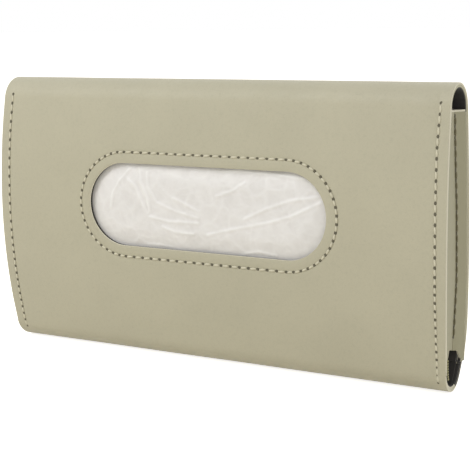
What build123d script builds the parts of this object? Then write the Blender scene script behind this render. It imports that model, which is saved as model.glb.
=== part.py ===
from build123d import *
import math
import os

# A leather case for a pack of tissues, worn on a car's sun visor.
# Millimetres. X runs to the right as the front is faced, Y back towards the visor, Z up.
# The origin is the middle of the flat back face, which lies against the visor.

# Whole case
case_width = 230.0
case_height = 129.5
case_depth = 27.75
side_bulge = 1.8

# Wall layers, from the outside in
leather = 1.0
board = 1.0
lining = 0.5
flap_board = 0.6
board_inset = 0.9
lining_inset = 0.4
closure_clearance = 0.3
overrun = 5.0

# Side profile of the leather: depths and heights that follow the case
foot_depth_share = 0.861
foot_height_share = 0.0695
crown_height_share = 0.471
brow_depth_share = 0.74
brow_height_share = 0.934
crease_height_share = 0.915
fold_share = 0.5

# Lower lip of the back panel and the flap that tucks in behind it
lip_start_height = 29.0
lip_end_height = 10.0
flap_top_height = 20.0
tuck_radius = 3.0
flap_side_inset = 1.0

# Window
window_length = 123.0
window_height = 38.6
window_centre_height = 72.8
board_window_margin = 0.8
lining_window_margin = 0.3

# Stitching
thread_radius = 0.32
stitch_pitch = 4.2
stitch_length_share = 0.7
window_stitch_margin = 5.1
edge_stitch_inset = 5.0
edge_stitch_low = 7.0
edge_stitch_drop = 5.5
back_stitch_low = 12.5
back_stitch_drop = 13.5
flap_stitch_inset = 2.2

# Side gussets
gusset_leather = 0.9
gusset_low = 16.5
gusset_drop = 12.5
gusset_inset = 0.8
gusset_fold_depth = 1.5
gusset_crease_depth = 12.0
gusset_hem = 6.0
gusset_stitch_inset = 3.6

# Magnetic closure
magnet_radius = 4.0
magnet_clearance = 0.1
magnet_height = 15.2
magnet_offset = 60.0

# Tissue pack
pack_end_room = 15.0
pack_head_room = 20.0
pack_low = 21.5
pack_corner_radius = 9.0
pack_edge_radius = 3.0
pack_clearance = 0.4
pack_back_clearance = 0.9
wrapper = 0.5

# Visor straps, from the sewn tab down to the rounded end
strap_width = 25.0
strap_leather = 2.0
strap_offset = 65.0
strap_drop = 15.5
strap_tab_length = 14.0
strap_lead = 4.7
strap_rise = 14.0
visor_gap = 13.0
strap_return = 13.0
strap_landing = 9.0
strap_tail = 12.0
strap_bend_radius = 7.0
tab_stitch_inset = 3.5
tab_stitch_pitch = 4.0

# Press studs
stud_base_radius = 5.0
stud_base = 1.0
stud_neck_radius = 1.8
stud_neck = 1.2
stud_head_radius = 2.3
stud_head = 0.7
stud_shank_radius = 1.2
socket_radius = 5.0
socket_bore_radius = 2.6
socket_depth = 2.3
snap_clearance = 0.3
cap_radius = 6.0
cap = 1.3
cap_rounding = 0.7
cap_shank_radius = 1.5

wall = leather + board + lining
tuck_wall = leather + flap_board + lining
middle = case_height / 2
gusset_high = case_height - gusset_drop

pack_width = case_width - 2 * pack_end_room
pack_high = case_height - pack_head_room

strap_top_height = case_height - strap_drop
strap_hinge_height = strap_top_height - strap_tab_length
gap_top_height = strap_hinge_height - strap_rise
snap_height = lip_start_height + stud_base_radius
strap_landing_height = snap_height + strap_landing
gap_bottom_height = strap_landing_height + strap_return
strap_end_height = snap_height - strap_tail


def spot(depth, height):
    """A point of the side profile, so far in front of the back face and above the bottom."""
    return Vector(0, -depth, height - middle)


def level(height):
    """The Z of a height above the bottom of the case."""
    return height - middle


# Side profile: front, top fold, bottom fold, lip and tucked flap
foot = spot(foot_depth_share * case_depth, foot_height_share * case_height)
crown = spot(case_depth, crown_height_share * case_height)
brow = spot(brow_depth_share * case_depth, brow_height_share * case_height)
front_arc = ThreePointArc(foot, crown, brow)
front_radius = front_arc.radius
front_centre = front_arc.arc_center

brow_inwards = (front_centre - brow).normalized()
top_radius = (level(case_height) - brow.Z) / (1 + brow_inwards.Z)
apex = Vector(0, brow.Y + top_radius * brow_inwards.Y, level(case_height))
heel_radius = -apex.Y
heel = spot(0, case_height - heel_radius)
crease = spot(0, crease_height_share * case_height)

foot_inwards = (front_centre - foot).normalized()
fold_radius = (foot.Z - level(0)) / (1 - foot_inwards.Z)
sole = Vector(0, foot.Y + fold_radius * foot_inwards.Y, level(0))

top_arc = TangentArc(brow, apex, tangent=front_arc % 1)
heel_arc = TangentArc(apex, heel, tangent=top_arc % 1)
fold_arc = TangentArc(foot, sole, tangent=front_arc % 0 * -1)

# The lip's radius lets the flap run from the sole into it on one smooth line
sole_depth = -sole.Y
tuck = wall + closure_clearance
lip_radius = (
    sole_depth**2 + (lip_start_height - tuck_radius) ** 2 - (tuck + tuck_radius) ** 2
) / (2 * (sole_depth - tuck - tuck_radius))
lip_centre = spot(lip_radius, lip_start_height)
flap_radius = lip_radius - tuck
tuck_centre = spot(sole_depth, tuck_radius)
tuck_line = (tuck_centre - lip_centre).normalized()
tuck_point = lip_centre + tuck_line * flap_radius


def on_lip(radius, height):
    """The point at a height on a circle about the lip's centre."""
    drop = lip_start_height - height
    return spot(lip_radius - math.sqrt(radius**2 - drop**2), height)


def lip_arc(radius, high, low):
    """An arc about the lip's centre, from one height down to another."""
    return ThreePointArc(on_lip(radius, high), on_lip(radius, (high + low) / 2), on_lip(radius, low))


lip_start = spot(0, lip_start_height)
tuck_height = tuck_point.Z + middle
tuck_side = tuck_centre + (tuck_line + Vector(0, 0, -1)).normalized() * tuck_radius

front_path = Wire(
    [fold_arc.trim(0, fold_share), front_arc, top_arc, heel_arc, Line(heel, crease)]
)
back_path = Wire([Line(crease, lip_start), lip_arc(lip_radius, lip_start_height, lip_end_height)])
flap_path = Wire(
    [
        lip_arc(flap_radius, flap_top_height, tuck_height),
        ThreePointArc(tuck_point, tuck_side, sole),
        fold_arc.trim(fold_share, 1),
    ]
)


def inner_side(path):
    """The side of a path on which the inside of the case lies."""
    inside = spot(case_depth / 2, case_height / 2)
    sides = (Side.LEFT, Side.RIGHT)
    gaps = [path.offset_2d(lining, side=side, closed=False).center() - inside for side in sides]
    return sides[0] if gaps[0].length < gaps[1].length else sides[1]


def band(path, near, far):
    """The face between two lines that follow a path at two depths inside it."""
    side = inner_side(path)
    whole = Face(path.offset_2d(far, side=side))
    if near == 0:
        return whole
    return whole - Face(path.offset_2d(near, side=side))


def edge_x(z, inset=0):
    """Half the width of the case at a Z, a little more at mid-height."""
    side_radius = (middle**2 + side_bulge**2) / (2 * side_bulge)
    return case_width / 2 - inset - side_radius + math.sqrt(side_radius**2 - z**2)


def outline(inset=0):
    """The front view of the case with its bulged sides, as a block through its whole depth."""
    half = edge_x(middle, inset)
    bulged = half + side_bulge
    high = middle
    top = middle + overrun
    sides = [
        Line((half, 0, -top), (half, 0, -high)),
        ThreePointArc((half, 0, -high), (bulged, 0, 0), (half, 0, high)),
        Line((half, 0, high), (half, 0, top)),
        Line((half, 0, top), (-half, 0, top)),
        Line((-half, 0, top), (-half, 0, high)),
        ThreePointArc((-half, 0, high), (-bulged, 0, 0), (-half, 0, -high)),
        Line((-half, 0, -high), (-half, 0, -top)),
        Line((-half, 0, -top), (half, 0, -top)),
    ]
    return extrude(Face(Wire(sides)), amount=case_depth + overrun, dir=(0, 1, 0), both=True)


def layer(path, near, far, inset=0):
    """One layer of a wall: a band along a path, as wide as the case less an inset each side."""
    face = band(path, near, far)
    strip = extrude(face, amount=case_width / 2 + overrun, dir=(1, 0, 0), both=True)
    return strip & outline(inset)


def window_block(margin=0):
    """A round-ended block through the front wall, so much wider than the window all round."""
    face = Plane.XZ * Pos(0, level(window_centre_height)) * SlotOverall(
        window_length + 2 * margin, window_height + 2 * margin
    )
    return extrude(face, amount=case_depth + overrun)


def front_y(z, depth=0):
    """The Y of the front at a Z, at a depth inside the leather."""
    return front_centre.Y - math.sqrt((front_radius - depth) ** 2 - (z - front_centre.Z) ** 2)


def mirrored(shape):
    """The same shape on the other side of the case."""
    return shape.mirror(Plane.YZ)


def stitch(start, end, middle_point=None):
    """One stitch of thread between two needle holes, and over a point between them."""
    run = end - start
    centre = middle_point or (start + end) / 2
    length = run.length * stitch_length_share
    return Plane(origin=centre, z_dir=run.normalized()) * Cylinder(thread_radius, length)


def stitches(holes):
    """A row of stitches through a list of needle holes."""
    return Compound([stitch(a, b) for a, b in zip(holes, holes[1:])])


def steps(length, pitch):
    """How many stitches of about one pitch fill a length."""
    return max(1, round(length / pitch))


def front_share(at):
    """The share of the front's path at a distance from the bottom fold."""
    share = at / front_path.length
    return share if (front_path @ 0).Z < (front_path @ 1).Z else 1 - share


def front_point(at):
    """The point of the front's path at a distance from the bottom fold."""
    return front_path.position_at(front_share(at))


def thread_point(at):
    """Where thread lies on the right edge of the front, at a distance from the bottom fold."""
    point = front_point(at)
    outwards = front_path.tangent_at(front_share(at)).cross(Vector(1, 0, 0)) * thread_radius
    if outwards.dot(point - spot(case_depth / 2, case_height / 2)) < 0:
        outwards = outwards * -1
    lifted = point + outwards
    return Vector(edge_x(point.Z, edge_stitch_inset), lifted.Y, lifted.Z)


def window_holes():
    """Needle holes round the window, with the thread's chords clear of the front's curve."""
    proud = thread_radius + stitch_pitch**2 / (8 * front_radius)
    radius = window_height / 2 + window_stitch_margin
    straight = window_length / 2 - window_height / 2
    around = 4 * straight + 2 * math.pi * radius
    count = steps(around, stitch_pitch)
    holes = []
    for step in range(count + 1):
        run = around * step / count
        side, run = divmod(run, around / 2)
        turn = 1 if side % 2 == 0 else -1
        if run <= 2 * straight:
            x, z = straight - run, radius
        else:
            angle = (run - 2 * straight) / radius
            x, z = -straight - radius * math.sin(angle), radius * math.cos(angle)
        height = level(window_centre_height) + turn * z
        holes.append(Vector(turn * x, front_y(height, -proud), height))
    return holes


# Front of the case
def front_cover():
    """Leather from the bottom fold up the front and over the top to the crease."""
    return layer(front_path, 0, leather) - window_block()


def front_board():
    """Stiff sheet that keeps the bulge of the front."""
    return layer(front_path, leather, leather + board, board_inset) - window_block(board_window_margin)


def front_lining():
    """Black cloth inside the front."""
    return layer(front_path, leather + board, wall, lining_inset) - window_block(lining_window_margin)


def edge_distance(height):
    """How far along the front's path a height on the front lies."""
    top = front_path.length - heel_arc.length - (heel - crease).length
    tries = steps(top, thread_radius)
    places = [top * step / tries for step in range(tries + 1)]
    return min(places, key=lambda at: abs(front_point(at).Z - level(height)))


def edge_stitching():
    """Thread down the right edge of the front, clear of the leather where it bends."""
    low = edge_distance(edge_stitch_low)
    high = edge_distance(case_height - edge_stitch_drop)
    count = steps(high - low, stitch_pitch)
    pitch = (high - low) / count
    starts = [low + pitch * step for step in range(count)]
    return Compound(
        [
            stitch(thread_point(at), thread_point(at + pitch), thread_point(at + pitch / 2))
            for at in starts
        ]
    )


# Back panel
def disc(x, z):
    """A round cutter square to the back, for magnets and closure plates."""
    turned = Pos(x, 0, z) * Rot(90, 0, 0)
    return turned * Cylinder(magnet_radius, case_depth)


def discs():
    """Cutters for both magnets, or for the plates that they hold."""
    height = level(magnet_height)
    return disc(magnet_offset, height) + disc(-magnet_offset, height)


def stud_holes(radius):
    """Holes through the back for the shanks of the studs."""
    holes = Pos(strap_offset, 0, level(snap_height)) * Rot(90, 0, 0) * Cylinder(radius, 2 * wall)
    return holes + mirrored(holes)


def back_cover():
    """Leather of the back panel, flat against the visor, with its curled lip."""
    return layer(back_path, 0, leather) - stud_holes(stud_shank_radius)


def back_board():
    """Stiff sheet inside the back panel."""
    sheet = layer(back_path, leather, leather + board, board_inset)
    return sheet - discs() - stud_holes(stud_shank_radius)


def closure_plates():
    """Steel discs in the lip, shaped to its curl."""
    return layer(back_path, leather, leather + board, board_inset) & discs()


def back_lining():
    """Black cloth inside the back panel."""
    return layer(back_path, leather + board, wall, lining_inset)


def back_stitching():
    """Thread down both edges of the back panel."""
    low = level(back_stitch_low)
    high = level(case_height - back_stitch_drop)
    count = steps(high - low, stitch_pitch)
    holes = []
    for step in range(count + 1):
        z = low + (high - low) * step / count
        drop = max(0, level(lip_start_height) - z)
        y = -(lip_radius + thread_radius) + math.sqrt((lip_radius + thread_radius) ** 2 - drop**2)
        holes.append(Vector(edge_x(z, edge_stitch_inset), y + 2 * thread_radius, z))
    row = stitches(holes)
    return Compound([*row.solids(), *mirrored(row).solids()])


# Bottom flap
def flap_cover():
    """Leather from the bottom fold up behind the lip."""
    return layer(flap_path, 0, leather, flap_side_inset)


def flap_sheet(gap=0):
    """The stiff sheet of the flap before the magnets' holes, a gap away from the leather."""
    return layer(flap_path, leather + gap, leather + flap_board, flap_side_inset + board_inset)


def flap_stiffener():
    """Stiff sheet inside the flap."""
    return flap_sheet() - discs()


def flap_magnets():
    """Magnet discs in the flap, which the lip's plates meet."""
    return flap_sheet(magnet_clearance) & discs()


def flap_lining():
    """Black cloth inside the flap."""
    return layer(flap_path, leather + flap_board, tuck_wall, flap_side_inset + lining_inset)


def flap_stitching():
    """Thread along the flap's upper hem, on its lining."""
    radius = flap_radius - tuck_wall - thread_radius
    height = flap_top_height - flap_stitch_inset
    place = on_lip(radius, height)
    half = edge_x(place.Z, flap_side_inset + edge_stitch_inset)
    count = steps(2 * half, stitch_pitch)
    return stitches([Vector(half - 2 * half * step / count, place.Y, place.Z) for step in range(count + 1)])


# Side gussets
def round_bar(centre, radius):
    """A cylinder along X through the whole case, about a centre of the side profile."""
    return Pos(centre.X, centre.Y, centre.Z) * Rot(0, 90, 0) * Cylinder(radius, case_width + overrun)


def slab(low, high, front, back):
    """A block across the whole case, between two heights and two depths."""
    return Pos(0, -(front + back) / 2, level((low + high) / 2)) * Box(
        case_width + overrun, front - back, high - low
    )


def hollow(low, high, front, back):
    """The inside of the case between two heights, less a depth of wall in front and behind."""
    upper = slab(lip_start_height, high, case_depth, back)
    lower = slab(low, lip_start_height, case_depth, 0) & round_bar(lip_centre, lip_radius - back)
    return (upper + lower) & round_bar(front_centre, front_radius - front)


def flap_room():
    """The space that the flap takes at the back of the bottom, with a clearance."""
    inside = flap_radius - tuck_wall - closure_clearance
    high = flap_top_height + 2 * closure_clearance
    return slab(0, high, case_depth, 0) - round_bar(lip_centre, inside)


def gusset():
    """Leather pleat across the right end, with a hem against the front and one against the back."""
    back_depth = wall + closure_clearance
    space = hollow(gusset_low, gusset_high, wall, back_depth) - flap_room()
    hems = space - hollow(
        gusset_low - overrun, gusset_high + overrun, wall + gusset_leather, back_depth + gusset_leather
    )
    half = middle + overrun
    outer_x = edge_x(half, gusset_inset)
    fold_x = outer_x - gusset_fold_depth
    bulge = edge_x(0, gusset_inset) - outer_x
    front_end = -(case_depth + overrun)
    crease_y = -gusset_crease_depth
    pleat = Polyline(
        (outer_x, front_end, -half),
        (fold_x, crease_y, -half),
        (outer_x, 0, -half),
        (outer_x - gusset_leather, 0, -half),
        (fold_x - gusset_leather, crease_y, -half),
        (outer_x - gusset_leather, front_end, -half),
        close=True,
    )
    rail = ThreePointArc((outer_x, 0, -half), (outer_x + bulge, 0, 0), (outer_x, 0, half))
    wings = sweep(Face(Wire(pleat.edges())), path=Wire([rail])) & space
    right_end = Pos(case_width / 2, 0, 0) * Box(case_width, 4 * case_depth, 2 * case_height)
    hem_strip = (outline(gusset_inset) - outline(gusset_inset + gusset_hem)) & right_end
    return wings + (hems & hem_strip)


def gusset_stitching():
    """Thread down the front hem and the back hem of the right gusset, inside the case."""
    rows = []
    low = level(lip_start_height)
    high = level(gusset_high)
    count = steps(high - low, stitch_pitch)
    heights = [low + (high - low) * (step + 0.5) / count for step in range(count)]
    front_depth = wall + gusset_leather + thread_radius
    back_depth = wall + closure_clearance + gusset_leather + thread_radius
    inset = gusset_inset + gusset_stitch_inset
    rows.append([Vector(edge_x(z, inset), front_y(z, front_depth), z) for z in heights])
    rows.append([Vector(edge_x(z, inset), -back_depth, z) for z in heights])
    return Compound([one for row in rows for one in stitches(row).solids()])


# Tissue pack
def pack(inset):
    """The soft block of tissues, crowned like the front, less an inset all round."""
    height = pack_high - pack_low
    plan = Plane.XZ * Pos(0, level((pack_low + pack_high) / 2)) * RectangleRounded(
        pack_width - 2 * inset, height - 2 * inset, pack_corner_radius - inset
    )
    column = extrude(plan, amount=case_depth)
    column = column & slab(0, case_height, case_depth, wall + pack_back_clearance + inset)
    block = column & round_bar(front_centre, front_radius - wall - pack_clearance - inset)
    broad = block.faces().sort_by(SortBy.AREA)[-2:]
    return fillet([edge for face in broad for edge in face.edges()], pack_edge_radius - inset)


def tissue_wrapper():
    """Soft skin of the pack."""
    return pack(0) - pack(wrapper)


def tissue_stack():
    """Folded tissues inside the wrapper."""
    return pack(wrapper)


# Visor straps
def behind(y, height):
    """A point behind the back face at a height above the bottom."""
    return (0, y, level(height))


def strap_plan():
    """The front view of the right strap below its sewn line, with a round lower end."""
    length = strap_hinge_height - strap_end_height + strap_width
    face = Plane.XZ * Pos(strap_offset, level(strap_end_height + length / 2)) * SlotOverall(
        length, strap_width, rotation=90
    )
    below = Pos(0, 0, level(strap_hinge_height - case_height / 2))
    return extrude(face, amount=case_depth + overrun, both=True) & (
        below * Box(case_width, 4 * case_depth, case_height)
    )


def strap():
    """Right strap, from the sewn line out round the visor and back to its press stud."""
    seat = stud_base + snap_clearance + socket_depth
    path = FilletPolyline(
        behind(0, strap_hinge_height),
        behind(0, strap_hinge_height - strap_lead),
        behind(visor_gap, gap_top_height),
        behind(visor_gap, gap_bottom_height),
        behind(seat, strap_landing_height),
        behind(seat, strap_end_height - strap_width),
        radius=strap_bend_radius,
    )
    path = Wire(path.edges())
    sides = [path.offset_2d(strap_leather, side=side) for side in (Side.LEFT, Side.RIGHT)]
    ribbon = Face(max(sides, key=lambda side: side.center().Y))
    strip = extrude(ribbon, amount=strap_width, dir=(1, 0, 0), both=True)
    strip = strip.moved(Location((strap_offset, 0, 0)))
    body = strip & strap_plan()
    hole = Pos(strap_offset, seat, level(snap_height)) * Rot(90, 0, 0)
    return body - hole * Cylinder(cap_shank_radius, 4 * strap_leather)


def strap_tab():
    """Sewn upper end of the right strap."""
    block = Pos(strap_offset, strap_leather / 2, level((strap_hinge_height + strap_top_height) / 2))
    return block * Box(strap_width, strap_leather, strap_top_height - strap_hinge_height)


def tab_stitching():
    """Two rows of thread across the right tab."""
    half = strap_width / 2 - tab_stitch_inset
    count = steps(2 * half, tab_stitch_pitch)
    rows = []
    for height in (strap_hinge_height + tab_stitch_inset, strap_top_height - tab_stitch_inset):
        y = strap_leather + thread_radius
        row = [
            Vector(strap_offset - half + 2 * half * step / count, y, level(height))
            for step in range(count + 1)
        ]
        rows += stitches(row).solids()
    return Compound(rows)


# Press studs
def turned_back(y, radius, length):
    """A round piece of the right stud, from a distance behind the back face outwards."""
    return Pos(strap_offset, y + length / 2, level(snap_height)) * Rot(90, 0, 0) * Cylinder(radius, length)


def snap_stud():
    """Stud riveted through the back panel."""
    shank = turned_back(-(leather + board), stud_shank_radius, leather + board)
    neck = turned_back(stud_base, stud_neck_radius, stud_neck)
    head = turned_back(stud_base + stud_neck, stud_head_radius, stud_head)
    return turned_back(0, stud_base_radius, stud_base) + shank + neck + head


def snap_socket():
    """Ring under the strap that grips the stud's head."""
    start = stud_base + snap_clearance
    ring = turned_back(start, socket_radius, socket_depth)
    return ring - turned_back(start, socket_bore_radius, socket_depth)


def snap_cap():
    """Domed cap on the outside of the strap, with its shank through the leather."""
    start = stud_base + snap_clearance + socket_depth
    outside = start + strap_leather
    dome = turned_back(outside, cap_radius, cap)
    dome = fillet(dome.edges().group_by(Axis.Y)[-1], cap_rounding)
    return dome + turned_back(start, cap_shank_radius, strap_leather)


def pair(shape):
    """A right-hand piece and its mirror image, as separate solids."""
    return Compound([*shape.solids(), *mirrored(shape).solids()])


right_gusset = gusset()
right_gusset_stitching = gusset_stitching()
right_edge_stitching = edge_stitching()
right_strap = strap()

parts = {
    "back_cover": back_cover(),
    "back_board": back_board(),
    "back_lining": back_lining(),
    "back_stitching": back_stitching(),
    "closure_plates": closure_plates(),
    "strap_tabs": pair(strap_tab()),
    "strap_tab_stitching": pair(tab_stitching()),
    "snap_studs": pair(snap_stud()),
    "front_cover": front_cover(),
    "front_board": front_board(),
    "front_lining": front_lining(),
    "window_stitching": stitches(window_holes()),
    "right_edge_stitching": right_edge_stitching,
    "left_edge_stitching": mirrored(right_edge_stitching),
    "right_gusset": right_gusset,
    "left_gusset": mirrored(right_gusset),
    "right_gusset_stitching": right_gusset_stitching,
    "left_gusset_stitching": mirrored(right_gusset_stitching),
    "tissue_wrapper": tissue_wrapper(),
    "tissue_stack": tissue_stack(),
    "flap_cover": flap_cover(),
    "flap_board": flap_stiffener(),
    "flap_lining": flap_lining(),
    "flap_magnets": flap_magnets(),
    "flap_stitching": flap_stitching(),
    "right_strap": right_strap,
    "right_snap_socket": snap_socket(),
    "right_snap_cap": snap_cap(),
    "left_strap": mirrored(right_strap),
    "left_snap_socket": mirrored(snap_socket()),
    "left_snap_cap": mirrored(snap_cap()),
}

os.makedirs("parts", exist_ok=True)
for name, shape in parts.items():
    export_step(shape, f"parts/{name}.step")
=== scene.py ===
import bisect
import math
from functools import partial

import bmesh
import bpy
from bpy.props import FloatProperty, FloatVectorProperty, PointerProperty
from bpy.types import Operator, Panel, PropertyGroup
from mathutils import Matrix, Vector, noise


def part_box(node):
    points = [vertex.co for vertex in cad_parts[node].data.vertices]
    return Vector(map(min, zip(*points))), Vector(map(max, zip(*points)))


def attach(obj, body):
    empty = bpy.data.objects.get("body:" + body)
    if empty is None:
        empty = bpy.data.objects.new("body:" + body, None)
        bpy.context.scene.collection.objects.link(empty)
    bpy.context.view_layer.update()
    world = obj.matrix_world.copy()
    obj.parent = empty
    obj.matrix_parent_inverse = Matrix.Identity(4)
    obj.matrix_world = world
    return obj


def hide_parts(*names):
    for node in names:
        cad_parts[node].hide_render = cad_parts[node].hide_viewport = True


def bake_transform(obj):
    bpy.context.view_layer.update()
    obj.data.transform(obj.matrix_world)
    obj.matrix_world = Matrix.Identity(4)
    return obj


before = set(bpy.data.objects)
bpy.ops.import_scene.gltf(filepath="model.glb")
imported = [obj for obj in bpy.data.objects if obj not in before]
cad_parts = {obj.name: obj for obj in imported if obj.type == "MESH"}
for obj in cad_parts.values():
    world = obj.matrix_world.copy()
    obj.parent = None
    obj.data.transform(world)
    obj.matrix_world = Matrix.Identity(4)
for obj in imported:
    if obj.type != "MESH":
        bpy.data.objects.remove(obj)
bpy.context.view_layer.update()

bl_info = {
    "name": "Car Tissue Case",
    "version": (1, 0, 0),
    "blender": (4, 5, 0),
    "location": "3D View > Sidebar > Tissue Case",
    "description": "Leather visor case for a pack of tissues, with stitching, lining, straps and studio",
    "category": "Object",
}

COVER_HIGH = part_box("front_cover")[1]
PACK_LOW, PACK_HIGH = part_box("tissue_wrapper")
GUSSET_LOW, GUSSET_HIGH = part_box("right_gusset")
STRAP_LOW, STRAP_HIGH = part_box("right_strap")
CAP_LOW, CAP_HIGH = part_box("right_snap_cap")
TABS_LOW, TABS_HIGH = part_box("strap_tabs")

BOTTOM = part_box("flap_cover")[0].z
HEIGHT = COVER_HIGH.z - BOTTOM
HALF_WIDTH = COVER_HIGH.x

# Points of the side profile as shares of the case's depth and height
FOOT_SHARES = (0.861, 0.0695)
CROWN_SHARES = (1, 0.471)
BROW_SHARES = (0.74, 0.934)
CREASE_SHARE = 0.915


def length(name, description, default):
    """A size that a user can change, in metres."""
    return FloatProperty(
        name=name, description=description, default=default, unit="LENGTH", precision=5
    )


def colour(name, description, default):
    """A colour that a user can change."""
    return FloatVectorProperty(
        name=name, description=description, default=default, subtype="COLOR", size=3, min=0, max=1
    )


class TissueCaseSizes(PropertyGroup):
    """Sizes of the case's visible pieces."""

    depth: length("Depth", "Front to back, at the crown of the front", 0.02775)
    upper_bulge: length("Upper bulge", "How far the sides draw in at the top", 0.001)
    lower_bulge: length("Lower bulge", "How far the sides draw in at the bottom", 0.0021)
    leather: length("Leather", "Thickness of the cover leather", 0.001)
    board: length("Board", "Thickness of the stiff sheet in the walls", 0.001)
    lining: length("Lining", "Thickness of the black cloth", 0.0005)
    flap_board: length("Flap board", "Thickness of the stiff sheet in the flap", 0.0006)
    closure_gap: length("Closure gap", "Play between the lip and the flap behind it", 0.0003)
    lip_start: length("Lip start", "Height at which the back begins to curl", 0.029)
    lip_end: length("Lip end", "Height of the lip's edge", 0.010)
    flap_top: length("Flap top", "Height of the tucked flap's edge", 0.020)
    tuck_radius: length("Tuck radius", "Bend at the bottom of the flap", 0.003)
    flap_inset: length("Flap inset", "How much narrower the flap is on each side", 0.0014)
    flap_swell: length("Flap swell", "How far the flap stands back below the lip", 0.0022)
    lip_taper: length("Lip taper", "How much the lip thins at its end", 0.0009)
    lining_inset: length("Lining inset", "How far the lining stays back from the sides", 0.0004)
    window_length: length("Window length", "Length of the round-ended window", 0.123)
    window_height: length("Window height", "Height of the round-ended window", 0.0386)
    window_centre: length("Window centre", "Height of the window's middle", 0.0728)
    lining_margin: length("Lining margin", "How far the lining stays back from the window", 0.0003)
    stitch_pitch: length("Stitch pitch", "Distance between needle holes", 0.0042)
    window_pitch: length("Window pitch", "Distance between needle holes along the window", 0.0047)
    end_pitch: length("Window end pitch", "Distance between needle holes round the window's ends", 0.00365)
    hole_radius: length("Needle hole", "Half the width of a needle hole", 0.00072)
    thread_radius: length("Thread radius", "Half the thickness of the thread", 0.00044)
    window_stitch: length("Window stitch line", "Stitch line outside the window's edge", 0.0051)
    edge_stitch: length("Edge stitch line", "Stitch line inside the side edges", 0.005)
    edge_stitch_low: length("Edge stitch foot", "Height of the lowest stitch of a side edge", 0.0062)
    edge_stitch_high: length("Edge stitch head", "Height of the highest stitch of a side edge", 0.1258)
    gusset_leather: length("Gusset leather", "Thickness of the side gussets", 0.0009)
    gusset_fold: length("Gusset fold", "Depth of the gusset's pleat", 0.0015)
    gusset_crease: length("Gusset crease", "Distance of the pleat from the back face", 0.0105)
    gusset_hem: length("Gusset hem", "Width of the glued and sewn hems", 0.006)
    gusset_inset: length("Gusset inset", "How far the gusset stays back from the sides", 0.0008)
    strap_leather: length("Strap leather", "Thickness of the straps", 0.002)
    strap_bend: length("Strap bend", "Radius of the strap's bends", 0.007)
    grain: length("Grain", "Size of one cell of the leather's grain", 0.00042)


class TissueCaseColours(PropertyGroup):
    """Colours of the case's visible pieces."""

    leather: colour("Leather", "Sage beige of the cover", (0.476, 0.448, 0.328))
    cut_edge: colour("Cut edge", "Raw edge of the cover leather", (0.78, 0.745, 0.60))
    worn_edge: colour("Worn edge", "Duller raw edge down the back", (0.56, 0.54, 0.40))
    board_edge: colour("Board edge", "Edge of the stiff sheet in the top fold", (0.26, 0.25, 0.19))
    gusset: colour("Gusset", "Olive beige of the side gussets", (0.41, 0.380, 0.192))
    gusset_hem: colour("Gusset hem", "Paler hem at the rear of the gussets", (0.56, 0.54, 0.40))
    # Painted shade: this dark olive stands for the shadow in the pleat's valley
    pleat: colour("Pleat", "Shadowed olive along the pleat", (0.16, 0.142, 0.075))
    lining: colour("Lining", "Black cloth inside", (0.042, 0.039, 0.035))
    thread: colour("Thread", "Waxed thread", (0.64, 0.605, 0.46))
    wrapper: colour("Wrapper", "Soft white skin of the pack", (0.76, 0.74, 0.715))
    # Painted highlight: this paler colour along the film's creases stands for the light that their ridges
    # catch
    crease: colour("Film crease", "Whitened creases of the skin", (0.90, 0.89, 0.87))


def sizes():
    """The sizes as the user has set them."""
    return bpy.context.scene.tissue_case_sizes


def colours():
    """The colours as the user has set them."""
    return bpy.context.scene.tissue_case_colours


def wall_thickness():
    """Leather, board and lining of the front and the back together."""
    s = sizes()
    return s.leather + s.board + s.lining


# Side profile

def spot(depth, height):
    """A point of the side profile, so far in front of the back face and above the bottom."""
    return Vector((0, -depth, BOTTOM + height))


def arc_centre(a, b, c):
    """Centre of the circle through three points of the side profile."""
    ab, ac = b - a, c - a
    cross = 2 * (ab.y * ac.z - ab.z * ac.y)
    y = (ac.z * ab.length_squared - ab.z * ac.length_squared) / cross
    z = (ab.y * ac.length_squared - ac.y * ab.length_squared) / cross
    return a + Vector((0, y, z))


def facing(heading):
    """Direction of travel along a profile, and the direction of its inside."""
    along = Vector((0, math.sin(heading), math.cos(heading)))
    inside = Vector((0, math.cos(heading), -math.sin(heading)))
    return along, inside


class Profile:
    """A line of straight runs and arcs in the side view, measured along its length."""

    def __init__(self, start, heading):
        self.runs = []
        self.length = 0
        self.end = start
        self.heading = heading

    def straight(self, run):
        """Adds a straight run."""
        self.add(run, 0)

    def turn(self, angle, radius):
        """Adds an arc that turns inwards by an angle, or outwards by a negative one."""
        self.add(abs(angle) * radius, math.copysign(radius, angle))

    def add(self, run, radius):
        """Adds a run of a signed radius, or a straight one if the radius is 0."""
        self.runs.append((self.length, self.end, self.heading, run, radius))
        self.end = self.point(self.length + run)
        self.heading += run / radius if radius else 0
        self.length += run

    def run_at(self, at):
        """The run that holds a distance along the line."""
        for run in reversed(self.runs):
            if at >= run[0]:
                return run
        return self.runs[0]

    def heading_at(self, at):
        """The direction of travel at a distance along the line."""
        start, _, heading, _, radius = self.run_at(at)
        return heading + (at - start) / radius if radius else heading

    def point(self, at, depth=0):
        """The point at a distance along the line, and so far inside it."""
        start, point, heading, _, radius = self.run_at(at)
        along, inside = facing(heading)
        if not radius:
            return point + along * (at - start) + inside * depth
        return point + inside * radius - facing(self.heading_at(at))[1] * (radius - depth)

    def outwards(self, at):
        """The direction out of the case at a distance along the line."""
        return -facing(self.heading_at(at))[1]


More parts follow.
